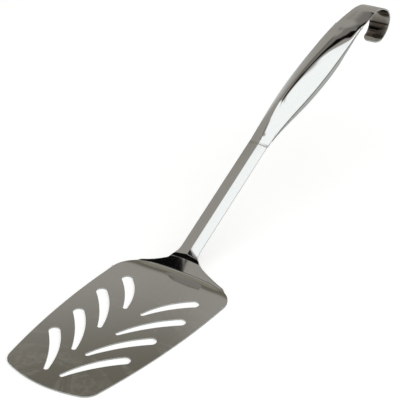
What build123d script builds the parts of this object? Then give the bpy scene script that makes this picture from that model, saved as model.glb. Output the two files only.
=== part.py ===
import math
import os

from build123d import *

os.makedirs("parts", exist_ok=True)

# Slotted turner with a hollow grip and a hanging hook, in millimetres.
# The origin lies on the blade's underside, on the solid spine between the slots.
# +X runs from the blade towards the handle, +Z is up, and XZ is the plane of symmetry.

# Driving dimensions of the sheets and the welds
sheet = 0.8
shell_wall = 1.2
belly_wall = 0.8
weld_length = 0.8
seam_height = 0.3
seam_recess = 0.2
seam_width = 0.6

# Blade, seen from above
front_reach = 56.4
front_radius = 72.0
front_half_width = 28.2
front_corner_radius = 9.0
blade_half_width = 38.6
widest_x = 42.0
shoulder_x = 62.1
shoulder_radius = 14.0
neck_root_x = 69.5
neck_root_radius = 7.0

# Heel, folded up behind the blade along a shallow arc
crease_x = 66.2
crease_radius = 175.0
heel_height = 9.8
heel_angle = 70.0
foot_radius = 2.4
brow_radius = 5.0
heel_sweep = 32.0

# Slots, four on each side of the spine, front pair first
slot_inner_points = ((-46.0, 4.5), (-25.2, 3.8), (-2.1, 5.3), (19.7, 5.2))
slot_angles = (34.0, 36.0, 37.4, 35.8)
slot_lengths = (37.5, 38.6, 39.0, 33.9)
slot_rise = 1.9
slot_inner_width = 2.8
slot_middle_width = 5.3
slot_outer_width = 6.4

# Neck
neck_half_width = 6.5
neck_angle = 28.4
neck_ridge = 0.8
neck_ridge_run = 12.0
neck_flat = 7.0
neck_end_x = 146.6

# Side seam of the grip, from the neck's angle to the strap's
grip_bend_radius = 250.0
grip_angle = 20.4
strap_bend_x = 250.5
strap_bend_radius = 60.0
strap_angle = 12.5

# Strap and hanging hook
crest_x = 276.4
crest_radius = 32.0
crest_end_angle = 30.4
hook_radius = 11.5
hook_turn = 126.4
hook_tail = 5.9
strap_half_width = 7.9
hook_tip_half_width = 6.4
hook_taper_height = 17.0
hook_tip_radius = 4.0


# Grip: stations along X with the half width, the height and half width of the narrow top face
grip_stations = (
    (147.4, 6.5, 0.8, 0.5),
    (156.0, 7.1, 3.6, 1.1),
    (168.0, 8.2, 7.0, 1.5),
    (180.0, 9.4, 8.1, 1.8),
    (192.0, 10.3, 7.9, 2.2),
    (204.0, 10.8, 7.0, 2.8),
    (216.0, 10.9, 5.7, 3.7),
    (228.0, 10.7, 4.1, 5.0),
    (240.0, 10.4, 2.4, 6.7),
    (248.0, 10.1, 1.1, 8.3),
    (256.0, 9.5, 0.1, 9.2),
    (268.0, 9.1, 0.1, 8.8),
    (276.0, 8.3, 0.1, 8.0),
)
strap_crown = 0.1
strap_edge = 0.3
flank_bulge_share = 0.06
skirt = 4.0

# Belly: stations along X with the half width, the depth below the side edges and the corner
belly_stations = (
    (152.0, 6.8, 1.9, 0.8),
    (164.0, 7.8, 4.0, 2.0),
    (180.0, 9.4, 6.2, 3.2),
    (200.0, 10.7, 7.2, 3.6),
    (222.0, 10.85, 7.6, 3.6),
    (236.0, 10.5, 5.8, 2.8),
    (248.0, 10.1, 3.7, 1.4),
    (260.0, 9.4, 1.9, 0.8),
)
corner_flats = 3


def slope(angle):
    return math.tan(math.radians(angle))


def arc_run(radius, from_angle, to_angle):
    """Level length of an arc that turns from one slope angle to a lower one."""
    return radius * (math.sin(math.radians(from_angle)) - math.sin(math.radians(to_angle)))


def arc_rise(radius, from_angle, run):
    """Rise of the same arc after a level run."""
    turned = math.sin(math.radians(from_angle)) - run / radius
    return radius * (math.cos(math.asin(turned)) - math.cos(math.radians(from_angle)))


# The corner between the heel's ramp and the neck, on the upper surface
brow_x = crease_x + heel_height / slope(heel_angle)
brow_z = sheet + heel_height
neck_joint_x = brow_x + neck_flat


def neck_z(x):
    """Height of the neck's upper side edges."""
    return brow_z + (x - brow_x) * slope(neck_angle)


grip_start_x = neck_end_x + weld_length
grip_start_z = neck_z(grip_start_x)
bend_end_x = grip_start_x + arc_run(grip_bend_radius, neck_angle, grip_angle)
bend_end_z = grip_start_z + arc_rise(grip_bend_radius, neck_angle, bend_end_x - grip_start_x)
strap_bend_z = bend_end_z + (strap_bend_x - bend_end_x) * slope(grip_angle)
strap_start_x = strap_bend_x + arc_run(strap_bend_radius, grip_angle, strap_angle)
strap_start_z = strap_bend_z + arc_rise(strap_bend_radius, grip_angle, strap_start_x - strap_bend_x)
crest_z = strap_start_z + (crest_x - strap_start_x) * slope(strap_angle)
level_x = crest_x + arc_run(crest_radius, strap_angle, 0)
level_z = crest_z + arc_rise(crest_radius, strap_angle, level_x - crest_x)


def edge_z(x):
    """Height of the top shell's side edges, from the neck to the crest of the strap."""
    if x < bend_end_x:
        return grip_start_z + arc_rise(grip_bend_radius, neck_angle, x - grip_start_x)
    if x < strap_bend_x:
        return bend_end_z + (x - bend_end_x) * slope(grip_angle)
    if x < strap_start_x:
        return strap_bend_z + arc_rise(strap_bend_radius, grip_angle, x - strap_bend_x)
    if x < crest_x:
        return strap_start_z + (x - strap_start_x) * slope(strap_angle)
    return crest_z + arc_rise(crest_radius, strap_angle, x - crest_x)


# Blade, heel and neck: one stamping of sheet

front_centre_x = front_radius - front_reach
front_corner_x = front_centre_x - math.sqrt(front_radius**2 - front_half_width**2)
crease_axis_x = crease_x - crease_radius
tool_height = brow_z * 2

with BuildPart() as blade:
    # The folded sheet in side view: flat blade, steep heel, start of the neck
    with BuildSketch(Plane.XZ):
        with BuildLine():
            FilletPolyline(
                (crease_axis_x + front_reach / 2, sheet),
                (crease_x, sheet),
                (brow_x, brow_z),
                (neck_joint_x + neck_flat, neck_z(neck_joint_x + neck_flat)),
                radius=(foot_radius, brow_radius),
            )
            offset(amount=sheet, side=Side.RIGHT)
        make_face()
    revolve(axis=Axis((crease_axis_x, 0, 0), (0, 0, 1)), revolution_arc=heel_sweep)
    mirror(about=Plane.XZ)

    # The blank's outline in plan: bowed front and sides, round shoulders, neck
    with BuildSketch(Plane.XY) as blank:
        with BuildLine() as outline:
            front_edge = RadiusArc(
                (-front_reach, 0), (front_corner_x, front_half_width), front_radius
            )
            TangentArc(
                (widest_x, blade_half_width), (front_corner_x, front_half_width), tangent=(-1, 0)
            )
            Polyline(
                (widest_x, blade_half_width),
                (shoulder_x, blade_half_width),
                (neck_root_x, neck_half_width),
                (neck_joint_x, neck_half_width),
                (neck_joint_x, 0),
                (-front_reach, 0),
            )
        make_face()
        mirror(about=Plane.XZ)
        fillet(blank.vertices().group_by(Axis.X)[0], front_corner_radius)
        fillet(blank.vertices().filter_by_position(Axis.X, shoulder_x, shoulder_x), shoulder_radius)
        fillet(
            blank.vertices().filter_by_position(Axis.X, neck_root_x, neck_root_x), neck_root_radius
        )
    extrude(amount=tool_height, both=True, mode=Mode.INTERSECT)

    # The neck, creased along its middle into a low ridge
    neck_depth = sheet / math.cos(math.radians(neck_angle))
    for x, ridge in (
        (neck_joint_x, 0),
        (neck_joint_x + neck_ridge_run, neck_ridge),
        (neck_end_x, neck_ridge),
    ):
        with BuildSketch(Plane.YZ.offset(x)):
            with BuildLine():
                Polyline(
                    (-neck_half_width, neck_z(x) - neck_depth),
                    (-neck_half_width, neck_z(x)),
                    (0, neck_z(x) + ridge),
                    (neck_half_width, neck_z(x)),
                    (neck_half_width, neck_z(x) - neck_depth),
                    (0, neck_z(x) + ridge - neck_depth),
                    close=True,
                )
            make_face()
    loft(ruled=True)

    # Slots: slightly curved, widening outwards, with round ends
    with BuildSketch(Plane.XY):
        for inner_point, angle, length in zip(slot_inner_points, slot_angles, slot_lengths):
            with Locations(Location(inner_point, angle)):
                inner_x = slot_inner_width / 2
                outer_x = length - slot_outer_width / 2
                middle_x = (inner_x + outer_x) / 2
                with BuildSketch(mode=Mode.PRIVATE) as slot:
                    with BuildLine():
                        ThreePointArc(
                            (inner_x, slot_inner_width / 2),
                            (middle_x, slot_middle_width / 2 - slot_rise),
                            (outer_x, slot_outer_width / 2),
                        )
                        ThreePointArc(
                            (outer_x, slot_outer_width / 2),
                            (length, 0),
                            (outer_x, -slot_outer_width / 2),
                        )
                        ThreePointArc(
                            (outer_x, -slot_outer_width / 2),
                            (middle_x, -slot_middle_width / 2 - slot_rise),
                            (inner_x, -slot_inner_width / 2),
                        )
                        ThreePointArc(
                            (inner_x, -slot_inner_width / 2),
                            (0, 0),
                            (inner_x, slot_inner_width / 2),
                        )
                    make_face()
                add(slot.sketch)
        mirror(about=Plane.XZ)
    extrude(amount=sheet, mode=Mode.SUBTRACT)

blade.part.label = "blade"
export_step(blade.part, "parts/blade.step")


# Handle sections


def crown_section(x, half_width, height, top_half_width, inset):
    """Cross-section of the upper pressing: side wall, bulged flanks and narrow top face."""
    z = edge_z(x)
    rise = flank_bulge_share * height
    flank_y = (half_width + top_half_width) / 2 + rise
    with BuildSketch(Plane.YZ.offset(x)) as section:
        with BuildLine():
            Polyline(
                (-half_width, z), (-half_width, z - skirt), (half_width, z - skirt), (half_width, z)
            )
            ThreePointArc(
                (half_width, z), (flank_y, z + height / 2 + rise), (top_half_width, z + height)
            )
            Line((top_half_width, z + height), (-top_half_width, z + height))
            ThreePointArc(
                (-top_half_width, z + height), (-flank_y, z + height / 2 + rise), (-half_width, z)
            )
        make_face()
        if inset:
            offset(amount=-inset, kind=Kind.INTERSECTION, mode=Mode.REPLACE)
    return section.sketch


def belly_section(x, half_width, depth, corner, inset):
    """Cross-section of the lower pressing: upright walls, corners bent in flats, flat bottom."""
    z = edge_z(x)
    bend = corner - inset
    side = [(half_width - inset, z + skirt)]
    for flat in range(corner_flats + 1):
        turned = math.radians(90 * flat / corner_flats)
        side.append(
            (
                half_width - inset - bend * (1 - math.cos(turned)),
                z - depth + inset + bend * (1 - math.sin(turned)),
            )
        )
    with BuildSketch(Plane.YZ.offset(x)) as section:
        with BuildLine():
            Polyline(*side, *((-y, z) for y, z in reversed(side)), close=True)
        make_face()
    return section.sketch


def draw_seam(depth):
    """Draw the side-view line that runs a given depth below the top shell's edges."""
    turn = math.radians(neck_angle)
    start_x = grip_start_x + depth * math.sin(turn)
    start_z = grip_start_z - depth * math.cos(turn)
    lead = Line(
        (start_x - skirt * math.cos(turn), start_z - skirt * math.sin(turn)), (start_x, start_z)
    )
    bend = JernArc(lead @ 1, lead % 1, grip_bend_radius - depth, grip_angle - neck_angle)
    run_length = (strap_bend_x - bend_end_x) / math.cos(math.radians(grip_angle))
    run = PolarLine(bend @ 1, run_length, grip_angle)
    strap_bend = JernArc(run @ 1, run % 1, strap_bend_radius - depth, strap_angle - grip_angle)
    strap_length = (crest_x - strap_start_x) / math.cos(math.radians(strap_angle))
    strap_run = PolarLine(strap_bend @ 1, strap_length, strap_angle)
    crest = JernArc(
        strap_run @ 1, strap_run % 1, crest_radius - depth, -strap_angle - crest_end_angle
    )
    return lead @ 0, crest @ 1


# Hanging hook: the strap's end, rolled over and tapered to a rounded tip
with BuildPart() as hook:
    with BuildSketch(Plane.XZ):
        with BuildLine():
            crest_arc = JernArc((level_x, level_z), (1, 0), crest_radius, -crest_end_angle)
            hook_arc = JernArc(crest_arc @ 1, crest_arc % 1, hook_radius, -hook_turn)
            PolarLine(hook_arc @ 1, hook_tail, -crest_end_angle - hook_turn)
            offset(amount=shell_wall, side=Side.RIGHT)
        make_face()
    extrude(amount=strap_half_width, both=True)
    with BuildSketch(Plane.YZ.offset(level_x - skirt)):
        with BuildLine():
            taper_z = level_z - hook_radius - hook_taper_height
            Polyline(
                (0, level_z + skirt),
                (strap_half_width, level_z + skirt),
                (strap_half_width, level_z - hook_radius),
                (hook_tip_half_width, taper_z),
                (0, taper_z),
                close=True,
            )
        make_face()
        mirror(about=Plane.YZ)
    extrude(amount=hook_radius * 4, mode=Mode.INTERSECT)
    tip_face = hook.faces().sort_by(Axis.Z)[0]
    fillet(tip_face.edges().sort_by(SortBy.LENGTH)[:2], hook_tip_radius)

# Upper pressing of the handle, carrying on as the strap
with BuildPart() as handle_top_shell:
    for x, half_width, height, top_half_width in grip_stations:
        add(crown_section(x, half_width, height, top_half_width, 0))
    add(crown_section(level_x, strap_half_width, strap_crown, strap_half_width - strap_edge, 0))
    loft()
    for x, half_width, height, top_half_width in grip_stations[1:-3]:
        add(crown_section(x, half_width, height, top_half_width, shell_wall))
    loft(mode=Mode.SUBTRACT)
    with BuildSketch(Plane.XZ):
        with BuildLine():
            first, last = draw_seam(shell_wall)
            Polyline(last, (last.X, level_z + skirt), (first.X, level_z + skirt), first)
        make_face()
    extrude(amount=blade_half_width, both=True, mode=Mode.INTERSECT)
    add(hook.part)

# Lower pressing of the handle
with BuildPart() as handle_bottom_shell:
    for x, half_width, depth, corner in belly_stations:
        add(belly_section(x, half_width, depth, corner, 0))
    loft()
    for x, half_width, depth, corner in belly_stations[1:-1]:
        add(belly_section(x, half_width, depth, corner, belly_wall))
    loft(mode=Mode.SUBTRACT)
    with BuildSketch(Plane.XZ):
        with BuildLine():
            first, last = draw_seam(shell_wall + seam_height)
            Polyline(last, (last.X, 0), (first.X, 0), first)
        make_face()
    extrude(amount=blade_half_width, both=True, mode=Mode.INTERSECT)

# Seam weld along the left side, set back from the walls' outer faces
with BuildPart() as seam_weld_left:
    for x, half_width, depth, corner in belly_stations:
        with BuildSketch(Plane.YZ.offset(x)):
            with Locations((half_width - seam_recess, edge_z(x))):
                Rectangle(seam_width, skirt * 2, align=(Align.MAX, Align.CENTER))
    loft()
    with BuildSketch(Plane.XZ):
        with BuildLine():
            first, last = draw_seam(shell_wall)
            lower_first, lower_last = draw_seam(shell_wall + seam_height)
            Line(first, lower_first)
            Line(last, lower_last)
        make_face()
    extrude(amount=blade_half_width, both=True, mode=Mode.INTERSECT)

with BuildPart() as seam_weld_right:
    add(seam_weld_left.part)
    mirror(about=Plane.XZ, mode=Mode.REPLACE)

# Butt weld between the neck and the handle, ground flush with the neck
with BuildPart() as neck_weld:
    for x in (neck_end_x, grip_start_x):
        with BuildSketch(Plane.YZ.offset(x)):
            with BuildLine():
                Polyline(
                    (-neck_half_width, neck_z(x) - neck_depth),
                    (-neck_half_width, neck_z(x)),
                    (0, neck_z(x) + neck_ridge),
                    (neck_half_width, neck_z(x)),
                    (neck_half_width, neck_z(x) - neck_depth),
                    (0, neck_z(x) + neck_ridge - neck_depth),
                    close=True,
                )
            make_face()
    loft(ruled=True)

neck_weld.part.label = "neck_weld"
export_step(neck_weld.part, "parts/neck_weld.step")

handle_top_shell.part.label = "handle_top_shell"
export_step(handle_top_shell.part, "parts/handle_top_shell.step")

handle_bottom_shell.part.label = "handle_bottom_shell"
export_step(handle_bottom_shell.part, "parts/handle_bottom_shell.step")

seam_weld_left.part.label = "seam_weld_left"
export_step(seam_weld_left.part, "parts/seam_weld_left.step")

seam_weld_right.part.label = "seam_weld_right"
export_step(seam_weld_right.part, "parts/seam_weld_right.step")
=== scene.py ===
import math

import bmesh
import bpy
from mathutils import Matrix, Vector
from mathutils.geometry import delaunay_2d_cdt


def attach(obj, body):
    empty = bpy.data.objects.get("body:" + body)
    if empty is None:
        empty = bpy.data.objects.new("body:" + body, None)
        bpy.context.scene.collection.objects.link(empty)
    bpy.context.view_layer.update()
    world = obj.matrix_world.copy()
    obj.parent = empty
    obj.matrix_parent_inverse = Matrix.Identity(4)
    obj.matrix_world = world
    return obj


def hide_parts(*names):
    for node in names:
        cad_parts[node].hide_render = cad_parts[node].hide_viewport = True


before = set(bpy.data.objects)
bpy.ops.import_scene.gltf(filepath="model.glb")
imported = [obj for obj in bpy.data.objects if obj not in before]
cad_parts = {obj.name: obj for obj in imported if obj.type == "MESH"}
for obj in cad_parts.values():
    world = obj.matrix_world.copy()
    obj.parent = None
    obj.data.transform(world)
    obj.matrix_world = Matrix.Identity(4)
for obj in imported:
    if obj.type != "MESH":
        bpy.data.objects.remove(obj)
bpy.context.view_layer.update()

# Blade: one stamping of thin stainless sheet. The flat blade is blanked with eight curved
# slots, its back edge is folded up into a steep dished heel, and the neck that rises from the
# heel is pressed into a low ridge. The whole piece is mirror polished.

MM = 0.001

SHEET = 0.8
FRONT_REACH = 56.4
FRONT_RADIUS = 72.0
FRONT_CORNER_RADIUS = 9.0
FRONT_HALF_WIDTH = 28.2
BLADE_HALF_WIDTH = 38.6
WIDEST_X = 42.0
SHOULDER_X = 62.1
SHOULDER_RADIUS = 14.0
NECK_ROOT_X = 69.5
NECK_ROOT_RADIUS = 7.0
NECK_HALF_WIDTH = 6.5
NECK_END_X = 146.6

CREASE_X = 66.2
CREASE_RADIUS = 175.0
HEEL_HEIGHT = 9.8
HEEL_ANGLE = math.radians(70.0)
BROW_RADIUS = 5.0
NECK_ANGLE = math.radians(28.4)
NECK_RIDGE = 0.8
RIDGE_RUN = 9.0
NECK_RIDGE_SOFT = 0.5
APRON_START = 55.0
APRON_RISE = 0.97
APRON_POWER = 6.0
APRON_SHOULDER_SHARE = 0.4
CREASE_SOFTNESS = 0.06

SLOT_INNER_POINTS = ((-46.0, 4.5), (-25.2, 3.8), (-2.1, 5.3), (19.7, 5.2))
SLOT_ANGLES = (34.0, 36.0, 37.4, 35.8)
SLOT_LENGTHS = (37.5, 38.6, 39.0, 33.9)
SLOT_RISE = 1.9
SLOT_INNER_WIDTH = 2.8
SLOT_MIDDLE_WIDTH = 5.3
SLOT_OUTER_WIDTH = 6.4


def on_arc(centre, radius, start, end, steps):
    """Points along an arc between two angles, both ends included."""
    return [
        (
            centre[0] + radius * math.cos(start + (end - start) * i / steps),
            centre[1] + radius * math.sin(start + (end - start) * i / steps),
        )
        for i in range(steps + 1)
    ]


def arc_through(first, middle, last, steps):
    """Points along the arc through three given points."""
    ax, ay = middle[0] - first[0], middle[1] - first[1]
    bx, by = last[0] - first[0], last[1] - first[1]
    d = 2 * (ax * by - ay * bx)
    ux = (by * (ax * ax + ay * ay) - ay * (bx * bx + by * by)) / d
    uy = (ax * (bx * bx + by * by) - bx * (ax * ax + ay * ay)) / d
    centre = (first[0] + ux, first[1] + uy)
    radius = math.hypot(ux, uy)
    start = math.atan2(first[1] - centre[1], first[0] - centre[0])
    via = math.atan2(middle[1] - centre[1], middle[0] - centre[0])
    end = math.atan2(last[1] - centre[1], last[0] - centre[0])
    turn = math.tau if d > 0 else -math.tau
    via_turn = (via - start) % turn
    end_turn = (end - start) % turn
    if abs(via_turn) > abs(end_turn):
        end_turn -= turn
    return on_arc(centre, radius, start, start + end_turn, steps)


# The rear edge runs straight from the shoulder to the neck's root
rear_run = math.hypot(NECK_ROOT_X - SHOULDER_X, BLADE_HALF_WIDTH - NECK_HALF_WIDTH)
rear_out = (
    (BLADE_HALF_WIDTH - NECK_HALF_WIDTH) / rear_run,
    (NECK_ROOT_X - SHOULDER_X) / rear_run,
)
shoulder_centre = (
    SHOULDER_X - SHOULDER_RADIUS * (1 - rear_out[1]) / rear_out[0],
    BLADE_HALF_WIDTH - SHOULDER_RADIUS,
)
root_centre = (
    NECK_ROOT_X + NECK_ROOT_RADIUS * (1 - rear_out[1]) / rear_out[0],
    NECK_HALF_WIDTH + NECK_ROOT_RADIUS,
)


def rear_half_width(x):
    """Half width of the stamping's plan outline behind its widest place."""
    if x < shoulder_centre[0]:
        return BLADE_HALF_WIDTH
    shoulder_end = shoulder_centre[0] + SHOULDER_RADIUS * rear_out[0]
    if x < shoulder_end:
        reach = x - shoulder_centre[0]
        return shoulder_centre[1] + math.sqrt(SHOULDER_RADIUS**2 - reach**2)
    if x < root_centre[0] - NECK_ROOT_RADIUS * rear_out[0]:
        return NECK_HALF_WIDTH + (NECK_ROOT_X - x) * rear_out[0] / rear_out[1]
    if x < root_centre[0]:
        reach = root_centre[0] - x
        return root_centre[1] - math.sqrt(NECK_ROOT_RADIUS**2 - reach**2)
    return NECK_HALF_WIDTH


# Side view of the fold on the sheet's upper face, as (distance from the crease's axis, height)
axis_x = CREASE_X - CREASE_RADIUS
brow_r = CREASE_RADIUS + HEEL_HEIGHT / math.tan(HEEL_ANGLE)
brow_turn = HEEL_ANGLE - NECK_ANGLE
brow_tangent = BROW_RADIUS * math.tan(brow_turn / 2)
brow_start = (
    brow_r - brow_tangent * math.cos(HEEL_ANGLE),
    SHEET + HEEL_HEIGHT - brow_tangent * math.sin(HEEL_ANGLE),
)
apron_length = CREASE_X - APRON_START
fold_line = [(CREASE_RADIUS - apron_length * (1.04 - i / 24), SHEET) for i in range(23)]
fold_line += [(CREASE_RADIUS - 0.3 + 1.6 * i / 22, SHEET) for i in range(23)]
ramp_foot = fold_line[-1]
for share in (0.25, 0.5, 0.75):
    fold_line.append((ramp_foot[0] + (brow_start[0] - ramp_foot[0]) * share, SHEET))
brow_centre = (
    brow_start[0] + BROW_RADIUS * math.sin(HEEL_ANGLE),
    brow_start[1] - BROW_RADIUS * math.cos(HEEL_ANGLE),
)
fold_line += on_arc(
    brow_centre, BROW_RADIUS, math.pi / 2 + HEEL_ANGLE, math.pi / 2 + NECK_ANGLE, 20
)
neck_start = fold_line[-1]
neck_rows = 90
neck_end_r = NECK_END_X - axis_x
for row in range(1, neck_rows + 1):
    run = (neck_end_r - neck_start[0]) * row / neck_rows
    fold_line.append((neck_start[0] + run, neck_start[1] + run * math.tan(NECK_ANGLE)))


def half_turn(r):
    """Half of the angle that the stamping spans about the crease's axis, at a distance from it."""
    low, high = 0.0, math.radians(32)
    for _ in range(40):
        middle = (low + high) / 2
        if r * math.sin(middle) < rear_half_width(axis_x + r * math.cos(middle)):
            low = middle
        else:
            high = middle
    return low


def smooth_step(value):
    """A soft passage from 0 to 1 as a value goes from 0 to 1."""
    value = min(max(value, 0.0), 1.0)
    return value * value * (3 - 2 * value)


def roof(y, half_width, ridge, bulge=0.06):
    """Height of a pressed roof at a distance from its middle, as a share of its ridge's height."""
    y = abs(y)
    fall = (1 - 4 * bulge) / (half_width - ridge)
    if y < ridge:
        return 1 + fall * (ridge * ridge - y * y) / (2 * ridge)
    share = (half_width - y) / (half_width - ridge)
    return share + 4 * bulge * share * (1 - share)


def heel_height(r, y):
    """Height of the sheet's face where the flat blade curves up softly into the steep heel."""
    rise = APRON_RISE * max(0.0, (r - CREASE_RADIUS) / apron_length + 1) ** APRON_POWER
    rise *= 1 - (1 - APRON_SHOULDER_SHARE) * smooth_step((abs(y) - 18) / 14)
    ramp = (r - CREASE_RADIUS) * math.tan(HEEL_ANGLE)
    if rise - ramp > 8:
        return SHEET + rise
    soft = CREASE_SOFTNESS * min(1.0, rise)
    return SHEET + (rise + ramp + math.hypot(rise - ramp, soft)) / 2


columns = 56
blade_mesh = bmesh.new()
rows = []
for r, height in fold_line:
    span = half_turn(r)
    on_heel = r < brow_start[0]
    gable = NECK_RIDGE * smooth_step((r - CREASE_RADIUS - 0.4) / RIDGE_RUN)
    row = []
    for column in range(columns + 1):
        turned = span * (2 * column / columns - 1)
        x = axis_x + r * math.cos(turned)
        y = r * math.sin(turned)
        rise = gable * roof(y, NECK_HALF_WIDTH, NECK_RIDGE_SOFT)
        if on_heel:
            rise += heel_height(r, y) - SHEET
        row.append(blade_mesh.verts.new((x * MM, y * MM, (height + rise) * MM)))
    rows.append(row)
for lower, upper in zip(rows, rows[1:]):
    for column in range(columns):
        blade_mesh.faces.new(
            (lower[column], upper[column], upper[column + 1], lower[column + 1])
        )

# The flat blade in plan: bowed front, round corners, bowed sides, round shoulders
front_centre = (FRONT_RADIUS - FRONT_REACH, 0.0)
front_corner_x = front_centre[0] - math.sqrt(FRONT_RADIUS**2 - FRONT_HALF_WIDTH**2)
side_run = WIDEST_X - front_corner_x
side_drop = BLADE_HALF_WIDTH - FRONT_HALF_WIDTH
side_radius = (side_run**2 + side_drop**2) / (2 * side_drop)
side_centre = (WIDEST_X, BLADE_HALF_WIDTH - side_radius)
to_front = FRONT_RADIUS - FRONT_CORNER_RADIUS
to_side = side_radius - FRONT_CORNER_RADIUS
span_x, span_y = side_centre[0] - front_centre[0], side_centre[1] - front_centre[1]
span = math.hypot(span_x, span_y)
along = (to_front**2 - to_side**2 + span**2) / (2 * span)
off = math.sqrt(to_front**2 - along**2)
corner_centre = (
    front_centre[0] + (along * span_x + off * span_y) / span,
    front_centre[1] + (along * span_y - off * span_x) / span,
)
front_turn = math.atan2(corner_centre[1] - front_centre[1], corner_centre[0] - front_centre[0])
side_turn = math.atan2(corner_centre[1] - side_centre[1], corner_centre[0] - side_centre[0])
half_outline = on_arc(front_centre, FRONT_RADIUS, math.pi, front_turn, 40)
half_outline += on_arc(corner_centre, FRONT_CORNER_RADIUS, front_turn, side_turn, 16)[1:]
half_outline += on_arc(side_centre, side_radius, side_turn, math.pi / 2, 60)[1:]
half_outline.append((shoulder_centre[0], BLADE_HALF_WIDTH))
apron_r = fold_line[0][0]
apron_turn = half_turn(apron_r)
apron_end = (axis_x + apron_r * math.cos(apron_turn), apron_r * math.sin(apron_turn))
end_turn = math.atan2(apron_end[1] - shoulder_centre[1], apron_end[0] - shoulder_centre[0])
half_outline += on_arc(shoulder_centre, SHOULDER_RADIUS, math.pi / 2, end_turn, 24)[1:-1]
apron = [(v.co.x / MM, v.co.y / MM) for v in rows[0]]
outline = [(x, -y) for x, y in reversed(half_outline[1:])] + half_outline + apron[::-1]

slots = []
for inner_point, angle, length in zip(SLOT_INNER_POINTS, SLOT_ANGLES, SLOT_LENGTHS):
    inner_x = SLOT_INNER_WIDTH / 2
    outer_x = length - SLOT_OUTER_WIDTH / 2
    middle_x = (inner_x + outer_x) / 2
    corners = (
        ((inner_x, SLOT_INNER_WIDTH / 2), (middle_x, SLOT_MIDDLE_WIDTH / 2 - SLOT_RISE),
         (outer_x, SLOT_OUTER_WIDTH / 2), 24),
        ((outer_x, SLOT_OUTER_WIDTH / 2), (length, 0.0), (outer_x, -SLOT_OUTER_WIDTH / 2), 16),
        ((outer_x, -SLOT_OUTER_WIDTH / 2), (middle_x, -SLOT_MIDDLE_WIDTH / 2 - SLOT_RISE),
         (inner_x, -SLOT_INNER_WIDTH / 2), 24),
        ((inner_x, -SLOT_INNER_WIDTH / 2), (0.0, 0.0), (inner_x, SLOT_INNER_WIDTH / 2), 12),
    )
    edge = [p for first, middle, last, steps in corners
            for p in arc_through(first, middle, last, steps)[:-1]]
    turned = math.radians(angle)
    placed = [
        (
            inner_point[0] + x * math.cos(turned) - y * math.sin(turned),
            inner_point[1] + x * math.sin(turned) + y * math.cos(turned),
        )
        for x, y in edge
    ]
    slots += [placed, [(x, -y) for x, y in placed]]


def inside(point, loop):
    """True if a plan point lies within a closed loop."""
    within = False
    for (ax, ay), (bx, by) in zip(loop, loop[1:] + loop[:1]):
        if (ay > point[1]) != (by > point[1]):
            if point[0] < ax + (point[1] - ay) * (bx - ax) / (by - ay):
                within = not within
    return within


plan_points, plan_edges = [], []
for loop in [outline, *slots]:
    first = len(plan_points)
    plan_points += loop
    plan_edges += [(first + i, first + (i + 1) % len(loop)) for i in range(len(loop))]
points, _, faces, *_ = delaunay_2d_cdt(
    [Vector(p) for p in plan_points], plan_edges, [], 0, 1e-6
)
flat_verts = [blade_mesh.verts.new((p.x * MM, p.y * MM, SHEET * MM)) for p in points]
for face in faces:
    middle = (
        sum(points[i].x for i in face) / len(face),
        sum(points[i].y for i in face) / len(face),
    )
    if inside(middle, outline) and not any(inside(middle, slot) for slot in slots):
        blade_mesh.faces.new([flat_verts[i] for i in face])
bmesh.ops.remove_doubles(blade_mesh, verts=blade_mesh.verts, dist=1e-7)
bmesh.ops.delete(
    blade_mesh, geom=[v for v in blade_mesh.verts if not v.link_faces], context="VERTS"
)
bmesh.ops.recalc_face_normals(blade_mesh, faces=blade_mesh.faces)


def finished(name, mesh, thickness=0.0, edge_round=0.0):
    """Make an object of a mesh, give it thickness below its face and break its sharp edges."""
    data = bpy.data.meshes.new(name)
    mesh.to_mesh(data)
    mesh.free()
    made = bpy.data.objects.new(name, data)
    bpy.context.scene.collection.objects.link(made)
    if thickness:
        solid = made.modifiers.new("thickness", "SOLIDIFY")
        solid.thickness = thickness * MM
        solid.offset = -1
        solid.use_even_offset = True
    if edge_round:
        bevel = made.modifiers.new("edges", "BEVEL")
        bevel.width = edge_round * MM
        bevel.segments = 2
        bevel.limit_method = "ANGLE"
        bevel.angle_limit = math.radians(50)
        bevel.miter_outer = "MITER_ARC"
    bake(made)
    for polygon in made.data.polygons:
        polygon.use_smooth = True
    made.data.set_sharp_from_angle(angle=math.radians(40))
    mark_edges(made.data)
    evenly = made.modifiers.new("flats", "WEIGHTED_NORMAL")
    evenly.keep_sharp = True
    bake(made)
    return made


def mark_edges(data):
    """Mark the points along broken edges, where handling wears the polish."""
    shape = bmesh.new()
    shape.from_mesh(data)
    worn = data.attributes.new("worn_edge", "FLOAT", "POINT")
    for vert in shape.verts:
        turns = [e.calc_face_angle(0.0) for e in vert.link_edges]
        worn.data[vert.index].value = 1.0 if max(turns, default=0.0) > 0.4 else 0.0
    shape.free()


def bake(made):
    """Turn an object's modifiers into its mesh."""
    evaluated = made.evaluated_get(bpy.context.evaluated_depsgraph_get())
    baked = bpy.data.meshes.new_from_object(evaluated)
    made.modifiers.clear()
    made.data = baked
    baked.name = made.name


if sum(f.normal.z * f.calc_area() for f in blade_mesh.faces) < 0:
    bmesh.ops.reverse_faces(blade_mesh, faces=blade_mesh.faces)
blade = finished("polished_blade", blade_mesh, thickness=SHEET, edge_round=0.12)


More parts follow.
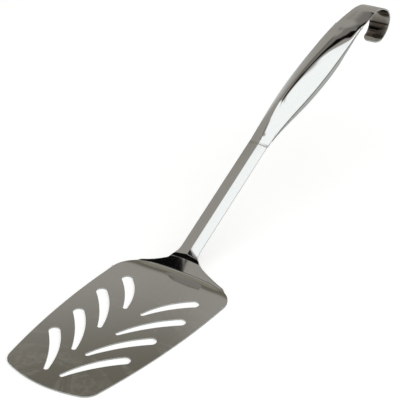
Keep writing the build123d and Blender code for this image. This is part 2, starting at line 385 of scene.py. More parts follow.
def polish_marks():
    """Shader group: the marks that buffing, washing and use leave on polished steel."""
    group = bpy.data.node_groups.new("polish_marks", "ShaderNodeTree")
    face = group.interface
    face.new_socket("Tint", in_out="INPUT", socket_type="NodeSocketColor")
    face.new_socket("Polish", in_out="INPUT", socket_type="NodeSocketFloat")
    face.new_socket("Line Depth", in_out="INPUT", socket_type="NodeSocketFloat")
    face.new_socket("Scratches", in_out="INPUT", socket_type="NodeSocketFloat")
    face.new_socket("Color", in_out="OUTPUT", socket_type="NodeSocketColor")
    face.new_socket("Roughness", in_out="OUTPUT", socket_type="NodeSocketFloat")
    face.new_socket("Height", in_out="OUTPUT", socket_type="NodeSocketFloat")
    nodes, links = group.nodes, group.links
    given = nodes.new("NodeGroupInput")
    result = nodes.new("NodeGroupOutput")
    place = nodes.new("ShaderNodeTexCoord")

    def noise(scale, stretch=(1.0, 1.0, 1.0), turn=0.0, detail=3.0):
        """Noise over the piece, drawn out along a direction."""
        mapping = nodes.new("ShaderNodeMapping")
        mapping.inputs["Scale"].default_value = stretch
        mapping.inputs["Rotation"].default_value = (0.0, 0.0, turn)
        links.new(place.outputs["Object"], mapping.inputs["Vector"])
        texture = nodes.new("ShaderNodeTexNoise")
        texture.inputs["Scale"].default_value = scale
        texture.inputs["Detail"].default_value = detail
        links.new(mapping.outputs["Vector"], texture.inputs["Vector"])
        return texture.outputs["Fac"]

    def remap(value, low, high, to_low, to_high):
        """A value's range carried over to another range."""
        node = nodes.new("ShaderNodeMapRange")
        for name, number in (
            ("From Min", low), ("From Max", high), ("To Min", to_low), ("To Max", to_high)
        ):
            node.inputs[name].default_value = number
        links.new(value, node.inputs["Value"])
        return node.outputs["Result"]

    def combine(operation, *values):
        """A maths node fed with numbers or with other nodes' results."""
        node = nodes.new("ShaderNodeMath")
        node.operation = operation
        for socket, value in zip(node.inputs, values):
            if isinstance(value, (int, float)):
                socket.default_value = value
            else:
                links.new(value, socket)
        return node.outputs["Value"]

    buffing = noise(1.0, (60.0, 1400.0, 1400.0))
    smears = remap(noise(38.0, detail=4.0), 0.35, 0.7, 0.8, 1.35)
    hairline_a = remap(noise(1.0, (45.0, 2600.0, 900.0), 0.5), 0.68, 0.76, 0.0, 1.0)
    hairline_b = remap(noise(1.0, (2400.0, 55.0, 900.0), 0.3), 0.7, 0.78, 0.0, 1.0)
    hairlines = combine("MAXIMUM", hairline_a, hairline_b)
    hairlines = combine("MULTIPLY", hairlines, given.outputs["Scratches"])
    worn = nodes.new("ShaderNodeAttribute")
    worn.attribute_name = "worn_edge"
    edges = combine("MULTIPLY", worn.outputs["Fac"], remap(noise(420.0), 0.35, 0.6, 0.2, 1.0))

    rough = combine("MULTIPLY", given.outputs["Polish"], smears)
    rough = combine("ADD", rough, combine("MULTIPLY", hairlines, 0.12))
    rough = combine("ADD", rough, combine("MULTIPLY", edges, 0.08))
    links.new(rough, result.inputs["Roughness"])

    darker = nodes.new("ShaderNodeMix")
    darker.data_type = "RGBA"
    darker.blend_type = "MULTIPLY"
    darker.inputs["B"].default_value = (0.93, 0.93, 0.925, 1.0)
    links.new(buffing, darker.inputs["Factor"])
    links.new(given.outputs["Tint"], darker.inputs["A"])
    brighter = nodes.new("ShaderNodeMix")
    brighter.data_type = "RGBA"
    brighter.inputs["B"].default_value = (0.72, 0.72, 0.71, 1.0)
    links.new(combine("MULTIPLY", edges, 0.5), brighter.inputs["Factor"])
    links.new(darker.outputs["Result"], brighter.inputs["A"])
    links.new(brighter.outputs["Result"], result.inputs["Color"])

    depth = combine("MULTIPLY", buffing, given.outputs["Line Depth"])
    depth = combine("SUBTRACT", depth, combine("MULTIPLY", hairlines, 0.5))
    links.new(depth, result.inputs["Height"])
    return group


polish = polish_marks()


def steel(name, tint, roughness, line_depth, scratches=1.0):
    """A stainless steel finish: the shared marks at this piece's own strength."""
    material = bpy.data.materials.new(name)
    material.use_nodes = True
    nodes, links = material.node_tree.nodes, material.node_tree.links
    shader = nodes["Principled BSDF"]
    shader.inputs["Metallic"].default_value = 1.0
    marks = nodes.new("ShaderNodeGroup")
    marks.node_tree = polish
    marks.inputs["Tint"].default_value = (*tint, 1.0)
    marks.inputs["Polish"].default_value = roughness
    marks.inputs["Line Depth"].default_value = line_depth
    marks.inputs["Scratches"].default_value = scratches
    links.new(marks.outputs["Color"], shader.inputs["Base Color"])
    links.new(marks.outputs["Roughness"], shader.inputs["Roughness"])
    bump = nodes.new("ShaderNodeBump")
    bump.inputs["Strength"].default_value = 1.0
    bump.inputs["Distance"].default_value = 0.000002
    links.new(marks.outputs["Height"], bump.inputs["Height"])
    links.new(bump.outputs["Normal"], shader.inputs["Normal"])
    return material


STEEL_TINT = (0.625, 0.625, 0.62)
blade_steel = steel("blade_steel", STEEL_TINT, 0.06, 0.4)
blade.data.materials.append(blade_steel)
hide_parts("blade")
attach(blade, "root")

# Handle, upper pressing: one sheet pressed into a roof-like crown over the grip, which dies
# out into a flat strap, and the strap is rolled over at its end into an open hanging hook.

GRIP_START_X = 147.4
GRIP_BEND_RADIUS = 250.0
GRIP_ANGLE = math.radians(20.642)
STRAP_BEND_X = 250.5
STRAP_BEND_RADIUS = 60.0
STRAP_ANGLE = math.radians(11.3)
CREST_X = 277.04
CREST_RADIUS = 32.0
CREST_END = math.radians(30.4)
HOOK_RADIUS = 11.5
HOOK_TURN = math.radians(126.4)
HOOK_TAIL = 5.9
STRAP_WALL = 1.2
ROLLED_RIM = 0.6
RIM_ROUND = 0.3
GROOVE_ROUND = 0.25

neck_slope = math.tan(NECK_ANGLE)
brow_x = axis_x + brow_r
grip_start_z = SHEET + HEEL_HEIGHT + (GRIP_START_X - brow_x) * neck_slope


def arc_rise(radius, angle, run):
    """Rise of an arc that starts at a slope angle and flattens, after a level run."""
    return radius * (math.cos(math.asin(math.sin(angle) - run / radius)) - math.cos(angle))


bend_end_x = GRIP_START_X + GRIP_BEND_RADIUS * (math.sin(NECK_ANGLE) - math.sin(GRIP_ANGLE))
bend_end_z = grip_start_z + arc_rise(GRIP_BEND_RADIUS, NECK_ANGLE, bend_end_x - GRIP_START_X)
strap_bend_z = bend_end_z + (STRAP_BEND_X - bend_end_x) * math.tan(GRIP_ANGLE)
strap_x = STRAP_BEND_X + STRAP_BEND_RADIUS * (math.sin(GRIP_ANGLE) - math.sin(STRAP_ANGLE))
strap_z = strap_bend_z + arc_rise(STRAP_BEND_RADIUS, GRIP_ANGLE, strap_x - STRAP_BEND_X)
crest_z = strap_z + (CREST_X - strap_x) * math.tan(STRAP_ANGLE)
level_x = CREST_X + CREST_RADIUS * math.sin(STRAP_ANGLE)
level_z = crest_z + CREST_RADIUS * (1 - math.cos(STRAP_ANGLE))


def edge_line(x):
    """Height and slope angle of the upper pressing's side edges."""
    if x < bend_end_x:
        run = x - GRIP_START_X
        angle = math.asin(math.sin(NECK_ANGLE) - run / GRIP_BEND_RADIUS)
        return grip_start_z + arc_rise(GRIP_BEND_RADIUS, NECK_ANGLE, run), angle
    if x < STRAP_BEND_X:
        return bend_end_z + (x - bend_end_x) * math.tan(GRIP_ANGLE), GRIP_ANGLE
    if x < strap_x:
        run = x - STRAP_BEND_X
        angle = math.asin(math.sin(GRIP_ANGLE) - run / STRAP_BEND_RADIUS)
        return strap_bend_z + arc_rise(STRAP_BEND_RADIUS, GRIP_ANGLE, run), angle
    if x < CREST_X:
        return strap_z + (x - strap_x) * math.tan(STRAP_ANGLE), STRAP_ANGLE
    run = x - CREST_X
    angle = math.asin(math.sin(STRAP_ANGLE) - run / CREST_RADIUS)
    return crest_z + arc_rise(CREST_RADIUS, STRAP_ANGLE, run), angle


def through(*stations):
    """A smooth curve through stations (x, value): a natural cubic spline."""
    xs = [s[0] for s in stations]
    ys = [s[1] for s in stations]
    n = len(xs)
    bend = [0.0] * n
    work = [0.0] * n
    for i in range(1, n - 1):
        share = (xs[i] - xs[i - 1]) / (xs[i + 1] - xs[i - 1])
        p = share * bend[i - 1] + 2
        bend[i] = (share - 1) / p
        step = (ys[i + 1] - ys[i]) / (xs[i + 1] - xs[i]) - (ys[i] - ys[i - 1]) / (xs[i] - xs[i - 1])
        work[i] = (6 * step / (xs[i + 1] - xs[i - 1]) - share * work[i - 1]) / p
    bend[-1] = 0.0
    for i in range(n - 2, -1, -1):
        bend[i] = bend[i] * bend[i + 1] + work[i]

    def value(x):
        x = min(max(x, xs[0]), xs[-1])
        k = 0
        while k < n - 2 and x > xs[k + 1]:
            k += 1
        h = xs[k + 1] - xs[k]
        a, b = (xs[k + 1] - x) / h, (x - xs[k]) / h
        curve = ((a**3 - a) * bend[k] + (b**3 - b) * bend[k + 1]) * h * h / 6
        return a * ys[k] + b * ys[k + 1] + curve

    return value


grip_half_width = through(
    (147.4, 6.5), (158.0, 7.25), (168.0, 8.2), (180.0, 9.4), (192.0, 10.3), (204.0, 10.8),
    (216.0, 10.9), (228.0, 10.7), (240.0, 10.35), (252.0, 9.75), (264.0, 9.25), (276.0, 8.3),
    (283.4, 7.9),
)
crown_height = through(
    (147.4, 0.8253), (149.5, 1.19), (152.0, 2.04), (156.0, 3.69), (162.0, 6.05),
    (168.0, 7.65), (174.0, 8.49), (180.0, 8.83), (192.0, 8.7), (204.0, 8.0), (216.0, 6.85),
    (228.0, 5.2), (234.0, 4.3), (240.0, 3.3), (246.0, 2.1), (252.0, 1.0), (258.0, 0.25),
    (264.0, 0.0), (270.0, 0.0), (283.4, 0.0),
)
ridge_half_width = through(
    (147.4, 0.5), (156.0, 0.9), (168.0, 1.5), (180.0, 1.8), (192.0, 2.2), (204.0, 2.8),
    (216.0, 3.7), (228.0, 5.3), (240.0, 7.2), (252.0, 8.4), (262.0, 8.6), (276.0, 8.1),
    (283.4, 7.7),
)
STRAP_DOME = 0.6
EDGE_ROLL = 0.3
EDGE_ROLL_WIDTH = 1.9


def crown_profile(x, half_width):
    """Half of a cross-section's upper outline, from the middle out to the lower edge."""
    ridge = min(ridge_half_width(x), half_width - 0.4)
    height = max(0.0, crown_height(x)) / roof(0.0, half_width, ridge)
    shares = [i / 14 * ridge for i in range(14)]
    shares += [ridge + (half_width - ridge) * i / 12 for i in range(12)]
    profile = [(y, height * roof(y, half_width, ridge)) for y in shares]
    roll = EDGE_ROLL * smooth_step((x - 238.0) / 16.0) * smooth_step((270.0 - x) / 12.0)
    dome = STRAP_DOME * smooth_step((x - 246.0) / 14.0)
    profile = [
        (
            y,
            n - dome * (y / half_width) ** 2
            - roll * max(0.0, 1 - (half_width - y) / EDGE_ROLL_WIDTH) ** 2,
        )
        for y, n in profile
    ]
    return profile + rounded_rim(half_width, dome + roll)


def rounded_rim(side, drop):
    """The last points of a cross-section's upper outline, round the rim to its side."""
    return [
        (side - RIM_ROUND * 0.3, -RIM_ROUND * 0.1 - drop),
        (side - RIM_ROUND * 0.08, -RIM_ROUND * 0.35 - drop),
        (side, -RIM_ROUND - drop),
    ]


shell_mesh = bmesh.new()
rings = []


def rim_height(x):
    """Height of the upper pressing's side rim: full at both ends, rolled thin between."""
    along_grip = smooth_step((x - 149.0) / 5.0) * smooth_step((263.0 - x) / 7.0)
    return STRAP_WALL - (STRAP_WALL - ROLLED_RIM) * along_grip


def ring(profile, wall, centre, outward):
    """One closed cross-section, placed at a point with its upward direction in the XZ plane."""
    loop = [(-y, n) for y, n in reversed(profile[1:])] + profile
    side = profile[-1][0]
    floor = side - GROOVE_ROUND
    corner = 0.3 * GROOVE_ROUND
    loop += [(side, -wall + GROOVE_ROUND), (side - corner, -wall + corner)]
    loop += [(floor * share, -wall) for share in (1.0, 0.6, 0.2, -0.2, -0.6, -1.0)]
    loop += [(-side + corner, -wall + corner), (-side, -wall + GROOVE_ROUND)]
    return [
        shell_mesh.verts.new(
            ((centre[0] + n * outward[0]) * MM, y * MM, (centre[1] + n * outward[1]) * MM)
        )
        for y, n in loop
    ]


grip_rows = 150
for row in range(grip_rows + 1):
    x = GRIP_START_X + (level_x - GRIP_START_X) * row / grip_rows
    z, angle = edge_line(x)
    profile = crown_profile(x, grip_half_width(x))
    rings.append(ring(profile, rim_height(x) / math.cos(angle), (x, z), (0.0, 1.0)))

# Beyond the level crest the sections stand square to the strap's curl
HOOK_HALF_WIDTH = 7.9
HOOK_TIP_HALF_WIDTH = 6.4
HOOK_TIP_RADIUS = 4.0
HOOK_TAPER_HEIGHT = 17.0
hook_path = []
for step in range(1, 25):
    turned = CREST_END * step / 24
    hook_path.append(
        (
            level_x + CREST_RADIUS * math.sin(turned),
            level_z - CREST_RADIUS * (1 - math.cos(turned)),
            turned,
        )
    )
curl_x = hook_path[-1][0] - HOOK_RADIUS * math.sin(CREST_END)
curl_z = hook_path[-1][1] - HOOK_RADIUS * math.cos(CREST_END)
for step in range(1, 61):
    turned = CREST_END + HOOK_TURN * step / 60
    hook_path.append(
        (curl_x + HOOK_RADIUS * math.sin(turned), curl_z + HOOK_RADIUS * math.cos(turned), turned)
    )
tail_x, tail_z, tail_turn = hook_path[-1]
for step in range(1, 17):
    run = HOOK_TAIL * math.sin(math.pi / 2 * step / 16)
    hook_path.append(
        (tail_x + run * math.cos(tail_turn), tail_z - run * math.sin(tail_turn), tail_turn)
    )
taper_top = level_z - HOOK_RADIUS
tip_x, tip_z, _ = hook_path[-1]
for x, z, turned in hook_path:
    tapered = min(max(taper_top - z, 0.0), HOOK_TAPER_HEIGHT)
    side = HOOK_HALF_WIDTH - (HOOK_HALF_WIDTH - HOOK_TIP_HALF_WIDTH) * tapered / HOOK_TAPER_HEIGHT
    near_tip = z < taper_top and x < curl_x + HOOK_RADIUS * 0.6
    to_tip = math.hypot(tip_x - x, tip_z - z)
    if near_tip and to_tip < HOOK_TIP_RADIUS:
        side -= HOOK_TIP_RADIUS - math.sqrt(HOOK_TIP_RADIUS**2 - (HOOK_TIP_RADIUS - to_tip) ** 2)
    dome = STRAP_DOME * smooth_step(1 - turned / CREST_END)
    shares = [0.97 * i / 25 for i in range(26)]
    profile = [(side * share, -dome * share**2) for share in shares]
    profile += rounded_rim(side, dome)
    rings.append(ring(profile, STRAP_WALL, (x, z), (math.sin(turned), math.cos(turned))))
for first, second in zip(rings, rings[1:]):
    for i in range(len(first)):
        j = (i + 1) % len(first)
        shell_mesh.faces.new((first[i], first[j], second[j], second[i]))
shell_mesh.faces.new(rings[0])
shell_mesh.faces.new(rings[-1])
bmesh.ops.recalc_face_normals(shell_mesh, faces=shell_mesh.faces)
top_shell = finished("handle_crown_and_hook", shell_mesh)
handle_steel = steel("handle_steel", STEEL_TINT, 0.06, 0.3)
top_shell.data.materials.append(handle_steel)
curl_steel_in_painted_shade = steel("unbuffed_curl_steel_with_painted_shade", (0.37, 0.35, 0.305), 0.12, 1.0)
# Inside the curl, where no wheel reaches, the steel is rougher, and its colour is painted darker
# towards its tip: painted shade for the curl's hollow.
nodes, links = curl_steel_in_painted_shade.node_tree.nodes, curl_steel_in_painted_shade.node_tree.links
place = nodes.new("ShaderNodeTexCoord")
split = nodes.new("ShaderNodeSeparateXYZ")
links.new(place.outputs["Object"], split.inputs["Vector"])
curl_shade_mask = nodes.new("ShaderNodeMapRange")
curl_shade_mask.interpolation_type = "SMOOTHSTEP"
curl_shade_mask.inputs["From Min"].default_value = (curl_z - 4.0) * MM
curl_shade_mask.inputs["From Max"].default_value = (curl_z + 7.0) * MM
links.new(split.outputs["Z"], curl_shade_mask.inputs["Value"])
# Painted shade: the colour runs from near black at the bottom of the curl to light grey above it
scale = nodes.new("ShaderNodeMix")
scale.data_type = "RGBA"
scale.inputs["A"].default_value = (0.14, 0.115, 0.1, 1.0)
scale.inputs["B"].default_value = (0.47, 0.45, 0.4, 1.0)
links.new(curl_shade_mask.outputs["Result"], scale.inputs["Factor"])
links.new(scale.outputs["Result"], nodes["Group"].inputs["Tint"])
top_shell.data.materials.append(curl_steel_in_painted_shade)
for polygon in top_shell.data.polygons:
    x, _, z = polygon.center / MM
    if x > curl_x - 6 and math.hypot(x - curl_x, z - curl_z) < HOOK_RADIUS - 0.8 * STRAP_WALL:
        polygon.material_index = 1
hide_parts("handle_top_shell")
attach(top_shell, "root")

# Handle, lower pressing: a shallow trough of thin stainless sheet that closes the grip from
# below. It is pressed with rounded corners, runs out shallow at both ends, and is less finely
# polished than the crown; its tint is a little darker than the crown's, painted shade for the
# shadowed table that its sides mirror.

SEAM_GAP = 0.4
BELLY_START_X = 152.0
BELLY_END_X = 260.0
belly_depth = through(
    (152.0, 1.7), (158.0, 2.8), (164.0, 4.0), (172.0, 5.2), (180.0, 6.2), (200.0, 7.2),
    (222.0, 7.6), (230.0, 7.0), (238.0, 5.5), (248.0, 3.7), (256.0, 2.4), (260.0, 1.7),
)
belly_mesh = bmesh.new()
belly_rings = []
belly_rows = 120
for row in range(belly_rows + 1):
    x = BELLY_START_X + (BELLY_END_X - BELLY_START_X) * row / belly_rows
    z, angle = edge_line(x)
    side = grip_half_width(x)
    top = -(rim_height(x) + SEAM_GAP) / math.cos(angle)
    depth = belly_depth(x)
    wall = max(depth + top, 0.1)
    corner = min(3.6, 0.7 * wall)
    groove = min(GROOVE_ROUND, 0.25 * wall)
    half = [(side - groove, top), (side - 0.3 * groove, top - 0.3 * groove), (side, top - groove)]
    half += [
        (
            side - corner * (1 - math.cos(math.pi / 2 * k / 12)),
            -depth + corner * (1 - math.sin(math.pi / 2 * k / 12)),
        )
        for k in range(13)
    ]
    half += [((side - corner) * share, -depth) for share in (0.66, 0.33)]
    loop = half + [(0.0, -depth)] + [(-y, n) for y, n in reversed(half)]
    belly_rings.append(
        [belly_mesh.verts.new((x * MM, y * MM, (z + n) * MM)) for y, n in loop]
    )
for first, second in zip(belly_rings, belly_rings[1:]):
    for i in range(len(first)):
        j = (i + 1) % len(first)
        belly_mesh.faces.new((first[i], first[j], second[j], second[i]))
belly_mesh.faces.new(belly_rings[0])
belly_mesh.faces.new(belly_rings[-1])
bmesh.ops.recalc_face_normals(belly_mesh, faces=belly_mesh.faces)
bottom_shell = finished("handle_belly", belly_mesh)
# Rougher than the crown, and a touch darker in tint: painted shade for the shadowed table it
# mirrors
belly_steel_with_painted_shade = steel("belly_steel_with_painted_shade", (0.6, 0.6, 0.59), 0.09, 0.5)
bottom_shell.data.materials.append(belly_steel_with_painted_shade)
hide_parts("handle_bottom_shell")
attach(bottom_shell, "root")

# Butt weld between neck and handle: a narrow run of stainless filler across the ridge, ground
# flush with both sheets and polished over with the blade.

WELD_LAP = 0.3
WELD_PROUD = 0.01

weld_mesh = bmesh.new()
weld_rings = []
across = [NECK_HALF_WIDTH * (2 * i / columns - 1) for i in range(columns + 1)]
for x in (NECK_END_X - WELD_LAP, NECK_END_X, GRIP_START_X, GRIP_START_X + WELD_LAP):
    face = []
    for y in across:
        # The neck's cross-sections follow arcs about the crease's axis, the handle's are straight
        run = (math.hypot(x - axis_x, y) - brow_r) if x < GRIP_START_X else (x - brow_x)
        z = SHEET + HEEL_HEIGHT + run * neck_slope + WELD_PROUD
        face.append((y, z + NECK_RIDGE * roof(y, NECK_HALF_WIDTH, NECK_RIDGE_SOFT)))
    loop = face + [(y, h - SHEET / math.cos(NECK_ANGLE)) for y, h in face[::-1]]
    weld_rings.append([weld_mesh.verts.new((x * MM, y * MM, h * MM)) for y, h in loop])
for first, second in zip(weld_rings, weld_rings[1:]):
    for i in range(len(first)):
        j = (i + 1) % len(first)
        weld_mesh.faces.new((first[i], first[j], second[j], second[i]))
weld_mesh.faces.new(weld_rings[0])
weld_mesh.faces.new(weld_rings[-1])
bmesh.ops.recalc_face_normals(weld_mesh, faces=weld_mesh.faces)
neck_weld = finished("ground_neck_weld", weld_mesh)
neck_weld.data.materials.append(blade_steel)
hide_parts("neck_weld")
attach(neck_weld, "root")

# Seam welds: a thin bead on each side of the grip, drawn a little back into the groove between
# the two pressings. Its near-black colour is heat tint, where no polishing wheel reaches, darkened
# further as painted shade for the groove.

BEAD_RADIUS = 0.32
BEAD_RECESS = 0.6
BEAD_RIPPLE = 0.08
BEAD_RIPPLE_LENGTH = 1.6

# Near black: heat tint on the weld, darkened further as painted shade for the groove between
# pressings
weld_steel = steel("weld_steel", (0.07, 0.065, 0.06), 0.4, 0.6)


def bead_nodes():
    """Geometry group: a round bead laid along a path, rippled as the weld pool froze."""
    group = bpy.data.node_groups.new("weld_bead", "GeometryNodeTree")
    face = group.interface
    face.new_socket("Path", in_out="INPUT", socket_type="NodeSocketGeometry")
    for name in ("Radius", "Ripple", "Ripple Length", "Seed"):
        face.new_socket(name, in_out="INPUT", socket_type="NodeSocketFloat")
    face.new_socket("Material", in_out="INPUT", socket_type="NodeSocketMaterial")
    face.new_socket("Bead", in_out="OUTPUT", socket_type="NodeSocketGeometry")
    nodes, links = group.nodes, group.links
    given = nodes.new("NodeGroupInput").outputs

    def node(kind, sources):
        """A node of the group, its inputs set to numbers or linked to other nodes' results."""
        made = nodes.new(kind)
        for name, source in sources.items():
            socket = made.inputs[name]
            if isinstance(source, (int, float, bool)):
                socket.default_value = source
            else:
                links.new(source, socket)
        return made

    def maths(operation, first, second=0.0):
        """A maths node of two values."""
        made = node("ShaderNodeMath", {0: first, 1: second})
        made.operation = operation
        return made.outputs["Value"]

    path = node("GeometryNodeMeshToCurve", {"Mesh": given["Path"]})
    even = node("GeometryNodeResampleCurve", {"Curve": path.outputs["Curve"]})
    even.mode = "LENGTH"
    links.new(maths("DIVIDE", given["Ripple Length"], 6.0), even.inputs["Length"])
    along = node("GeometryNodeSplineParameter", {}).outputs["Length"]
    turns = maths("DIVIDE", along, given["Ripple Length"])
    waver = node("ShaderNodeTexNoise", {"Scale": 0.7})
    waver.noise_dimensions = "1D"
    links.new(maths("ADD", turns, given["Seed"]), waver.inputs["W"])
    turns = maths("ADD", turns, waver.outputs["Fac"])
    swell = maths("MULTIPLY", maths("SINE", maths("MULTIPLY", turns, math.tau)), given["Ripple"])
    sized = node(
        "GeometryNodeSetCurveRadius",
        {"Curve": even.outputs["Curve"], "Radius": maths("ADD", swell, 1.0)},
    )
    section = node(
        "GeometryNodeCurvePrimitiveCircle", {"Resolution": 10, "Radius": given["Radius"]}
    )
    bead = node(
        "GeometryNodeCurveToMesh",
        {
            "Curve": sized.outputs["Curve"],
            "Profile Curve": section.outputs["Curve"],
            "Fill Caps": True,
        },
    )
    real = node("GeometryNodeRealizeInstances", {"Geometry": bead.outputs["Mesh"]})
    coated = node(
        "GeometryNodeSetMaterial",
        {"Geometry": real.outputs["Geometry"], "Material": given["Material"]},
    )
    links.new(coated.outputs["Geometry"], nodes.new("NodeGroupOutput").inputs["Bead"])
    return group


weld_bead = bead_nodes()
for node_name, side in (("seam_weld_left", 1), ("seam_weld_right", -1)):
    path_mesh = bmesh.new()
    points = []
    for row in range(belly_rows + 1):
        x = BELLY_START_X + (BELLY_END_X - BELLY_START_X) * row / belly_rows
        z, angle = edge_line(x)
        middle = z - (rim_height(x) + SEAM_GAP / 2) / math.cos(angle)
        reach = grip_half_width(x) - BEAD_RECESS
        points.append(path_mesh.verts.new((x * MM, side * reach * MM, middle * MM)))
    for first, second in zip(points, points[1:]):
        path_mesh.edges.new((first, second))
    path_data = bpy.data.meshes.new(node_name)
    path_mesh.to_mesh(path_data)
    path_mesh.free()
    bead = bpy.data.objects.new(node_name.replace("weld", "bead"), path_data)
    bpy.context.scene.collection.objects.link(bead)
    laid = bead.modifiers.new("bead", "NODES")
    laid.node_group = weld_bead
    given = {
        "Radius": BEAD_RADIUS * MM, "Ripple": BEAD_RIPPLE, "Seed": 3.0 + side,
        "Ripple Length": BEAD_RIPPLE_LENGTH * MM, "Material": weld_steel,
    }
    for socket in weld_bead.interface.items_tree:
        if socket.in_out == "INPUT" and socket.name in given:
            laid[socket.identifier] = given[socket.name]
    bake(bead)
    for polygon in bead.data.polygons:
        polygon.use_smooth = True
    bead.data.set_sharp_from_angle(angle=math.radians(60))
    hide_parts(node_name)
    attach(bead, "root")

# Studio: a white paper table top, painted greyer with distance as a falloff of light, and the room
# round it as light.
# The walls are grey, and softboxes and black cards hang before them and under the ceiling, so
# that the polished steel has something to mirror.

FLOOR_REACH = 9.0
FLOOR_Z = -0.0001
# The paper's colour is lighter near the tool and greyer far off: a painted falloff of the studio
# light
PAPER_UNDER_PAINTED_LIGHT = (0.66, 0.66, 0.65)
PAPER_IN_PAINTED_FALLOFF = (0.45, 0.44, 0.42)
LIGHT_FALLOFF_START = 0.3
LIGHT_FALLOFF_END = 1.1
GLOW_TO_CAMERA = 0.5
GLOW_TO_METAL = 0.08

floor_mesh = bmesh.new()
corners = [(-1, -1), (1, -1), (1, 1), (-1, 1)]
floor_mesh.faces.new(
    [floor_mesh.verts.new((sx * FLOOR_REACH, sy * FLOOR_REACH, FLOOR_Z)) for sx, sy in corners]
)
floor_data = bpy.data.meshes.new("table_top")
floor_mesh.to_mesh(floor_data)
floor_mesh.free()
floor = bpy.data.objects.new("table_top", floor_data)
bpy.context.scene.collection.objects.link(floor)

floor_material = bpy.data.materials.new("table_top")
floor_material.use_nodes = True
nodes, links = floor_material.node_tree.nodes, floor_material.node_tree.links
nodes.clear()
output = nodes.new("ShaderNodeOutputMaterial")
place = nodes.new("ShaderNodeTexCoord")
away = nodes.new("ShaderNodeVectorMath")
away.operation = "DISTANCE"
away.inputs[1].default_value = (0.12, 0.0, 0.0)
links.new(place.outputs["Object"], away.inputs[0])
# Painted falloff of light: the paper's colour greys with distance from the tool
painted_light_falloff = nodes.new("ShaderNodeMapRange")
painted_light_falloff.interpolation_type = "SMOOTHSTEP"
painted_light_falloff.inputs["From Min"].default_value = LIGHT_FALLOFF_START
painted_light_falloff.inputs["From Max"].default_value = LIGHT_FALLOFF_END
painted_light_falloff.inputs["To Min"].default_value = 0.0
painted_light_falloff.inputs["To Max"].default_value = 1.0
links.new(away.outputs["Value"], painted_light_falloff.inputs["Value"])
paper_with_painted_falloff = nodes.new("ShaderNodeMix")
paper_with_painted_falloff.data_type = "RGBA"
paper_with_painted_falloff.inputs["A"].default_value = (*PAPER_UNDER_PAINTED_LIGHT, 1.0)
paper_with_painted_falloff.inputs["B"].default_value = (*PAPER_IN_PAINTED_FALLOFF, 1.0)
links.new(painted_light_falloff.outputs["Result"], paper_with_painted_falloff.inputs["Factor"])
diffuse = nodes.new("ShaderNodeBsdfDiffuse")
links.new(paper_with_painted_falloff.outputs["Result"], diffuse.inputs["Color"])
glow = nodes.new("ShaderNodeEmission")
glow.inputs["Color"].default_value = (1.0, 1.0, 1.0, 1.0)
path = nodes.new("ShaderNodeLightPath")
metal_sees = nodes.new("ShaderNodeMath")
metal_sees.operation = "MULTIPLY"
both_rays = nodes.new("ShaderNodeMath")
both_rays.operation = "ADD"
links.new(path.outputs["Is Glossy Ray"], both_rays.inputs[0])
links.new(path.outputs["Is Transmission Ray"], both_rays.inputs[1])
links.new(both_rays.outputs["Value"], metal_sees.inputs[0])
metal_sees.inputs[1].default_value = GLOW_TO_METAL
seen = nodes.new("ShaderNodeMath")
seen.operation = "MULTIPLY_ADD"
links.new(path.outputs["Is Camera Ray"], seen.inputs[0])
seen.inputs[1].default_value = GLOW_TO_CAMERA
links.new(metal_sees.outputs["Value"], seen.inputs[2])
links.new(seen.outputs["Value"], glow.inputs["Strength"])
both = nodes.new("ShaderNodeAddShader")
links.new(diffuse.outputs["BSDF"], both.inputs[0])
links.new(glow.outputs["Emission"], both.inputs[1])
links.new(both.outputs["Shader"], output.inputs["Surface"])
floor_data.materials.append(floor_material)

world = bpy.data.worlds.new("studio")
world.use_nodes = True
bpy.context.scene.world = world
nodes, links = world.node_tree.nodes, world.node_tree.links
background = nodes["Background"]
place = nodes.new("ShaderNodeTexCoord")
split = nodes.new("ShaderNodeSeparateXYZ")
links.new(place.outputs["Generated"], split.inputs["Vector"])


def math_node(operation, *values):
    """A maths node of the studio's light, fed with numbers or with other nodes' results."""
    node = nodes.new("ShaderNodeMath")
    node.operation = operation
    for socket, value in zip(node.inputs, values):
        if isinstance(value, (int, float)):
            socket.default_value = value
        else:
            links.new(value, socket)
    return node.outputs["Value"]


def ramp(value, low, high, from_level=0.0, to_level=1.0):
    """A soft step between two levels as a value passes from low to high."""
    node = nodes.new("ShaderNodeMapRange")
    node.interpolation_type = "SMOOTHSTEP"
    links.new(value, node.inputs["Value"])
    node.inputs["From Min"].default_value = low
    node.inputs["From Max"].default_value = high
    node.inputs["To Min"].default_value = from_level
    node.inputs["To Max"].default_value = to_level
    return node.outputs["Result"]


DEGREE = 180 / math.pi
elevation = math_node("MULTIPLY", math_node("ARCSINE", split.outputs["Z"]), DEGREE)
azimuth = math_node(
    "MULTIPLY", math_node("ARCTAN2", split.outputs["Y"], split.outputs["X"]), DEGREE
)

east = math_node("DIVIDE", split.outputs["X"], math_node("MAXIMUM", split.outputs["Z"], 0.05))
north = math_node("DIVIDE", split.outputs["Y"], math_node("MAXIMUM", split.outputs["Z"], 0.05))
slanted = math_node("SUBTRACT", north, math_node("MULTIPLY", east, 0.9))
ROUND_THE_WALLS = (azimuth, elevation)
ON_THE_CEILING = (east, north)
ACROSS_THE_CEILING = (east, slanted)
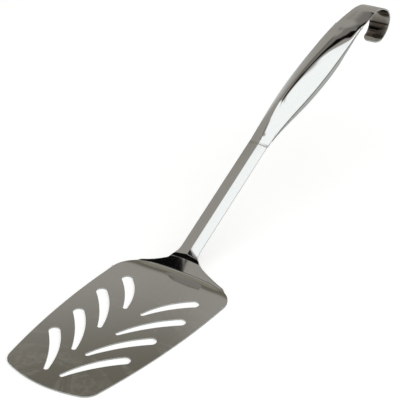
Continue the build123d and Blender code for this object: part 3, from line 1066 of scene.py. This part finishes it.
# Grey walls and ceiling, and what hangs before them: (from, to, soft edge) both ways, colour
WALL = (0.44, 0.42, 0.385)
SOFTBOX = (1.45, 1.5, 1.5)
BLACK = (0.004, 0.004, 0.004)
CARDS = (
    (ROUND_THE_WALLS, (35, 74, 4), (34.6, 62, 6), (0.2, 0.185, 0.15)),
    (ROUND_THE_WALLS, (46, 78, 8), (46, 62, 8), (0.32, 0.3, 0.25)),
    (ROUND_THE_WALLS, (2, 36, 3), (39, 60, 6), (0.25, 0.235, 0.215)),
    (ACROSS_THE_CEILING, (0.08, 0.75, 0.1), (-0.46, -0.1, 0.24), (0.25, 0.24, 0.225)),
    (ON_THE_CEILING, (-0.39, 0.05, 0.06), (-3.0, 0.385, 0.03), SOFTBOX),
    (ON_THE_CEILING, (-0.9, -0.3, 0.08), (-3.0, 0.1, 0.12), SOFTBOX),
    (ON_THE_CEILING, (-2.0, 0.02, 0.1), (-9.0, -0.3, 0.18), SOFTBOX),
    (ACROSS_THE_CEILING, (0.0, 1.25, 0.1), (-9.0, -0.93, 0.14), SOFTBOX),
    (ACROSS_THE_CEILING, (0.535, 1.25, 0.03), (-9.0, -0.76, 0.1), SOFTBOX),
    (ACROSS_THE_CEILING, (-0.05, 0.2, 0.06), (-9.0, -0.72, 0.12), SOFTBOX),
    (ON_THE_CEILING, (1.2, 3.6, 0.3), (-9.0, -0.5, 0.4), SOFTBOX),
    (ACROSS_THE_CEILING, (0.43, 0.78, 0.06), (-0.57, -0.35, 0.08), BLACK),
    (ACROSS_THE_CEILING, (0.7, 1.1, 0.06), (-0.64, -0.47, 0.06), BLACK),
    (ACROSS_THE_CEILING, (0.06, 0.45, 0.06), (-0.66, -0.2, 0.12), BLACK),
    (ON_THE_CEILING, (-0.34, -0.2, 0.04), (0.4, 0.53, 0.03), BLACK),
    (ROUND_THE_WALLS, (118, 151.5, 3), (10, 55, 3), BLACK),
    (ROUND_THE_WALLS, (150.2, 166, 0.4), (-4, 9, 2), BLACK),
)


def shown(card):
    """Share of a card that is seen in a direction, with its soft edges."""
    (sideways, upward), spans = card[0], card[1:3]
    shares = []
    for place, (low, high, edge) in zip((sideways, upward), spans):
        off_centre = math_node("ABSOLUTE", math_node("SUBTRACT", place, (low + high) / 2))
        half = (high - low) / 2
        shares.append(ramp(off_centre, half - edge / 2, half + edge / 2, 1.0, 0.0))
    return math_node("MULTIPLY", *shares)


above = ramp(split.outputs["Z"], 0.05, 0.1)
room = None
for card in CARDS:
    mix = nodes.new("ShaderNodeMix")
    mix.data_type = "RGBA"
    share = shown(card)
    if card[0] is not ROUND_THE_WALLS:
        share = math_node("MULTIPLY", share, above)
    links.new(share, mix.inputs["Factor"])
    if room is None:
        mix.inputs["A"].default_value = (*WALL, 1.0)
    else:
        links.new(room, mix.inputs["A"])
    mix.inputs["B"].default_value = (*card[3], 1.0)
    room = mix.outputs["Result"]
links.new(room, background.inputs["Color"])
background.inputs["Strength"].default_value = 1.0

# Camera: at the photograph's viewing angle, looking down on the tool from its front left with a
# long lens, which keeps the far hook nearly as large as the near blade.

camera_data = bpy.data.cameras.new("camera")
camera_data.lens = 99.0
camera_data.sensor_width = 36.0
camera = bpy.data.objects.new("camera", camera_data)
bpy.context.scene.collection.objects.link(camera)
view_azimuth = math.radians(-55.42)
view_elevation = math.radians(28.34)
back = Vector(
    (
        math.sin(view_azimuth) * math.cos(view_elevation),
        -math.cos(view_azimuth) * math.cos(view_elevation),
        math.sin(view_elevation),
    )
)
right = Vector((math.cos(view_azimuth), math.sin(view_azimuth), 0.0))
up = back.cross(right)
eye = Vector((-0.3701, -0.3133, 0.3390))
turned = Matrix((right, up, back)).transposed().to_4x4()
camera.matrix_world = Matrix.Translation(eye) @ turned
bpy.context.scene.camera = camera
bpy.context.scene.view_settings.view_transform = "Standard"
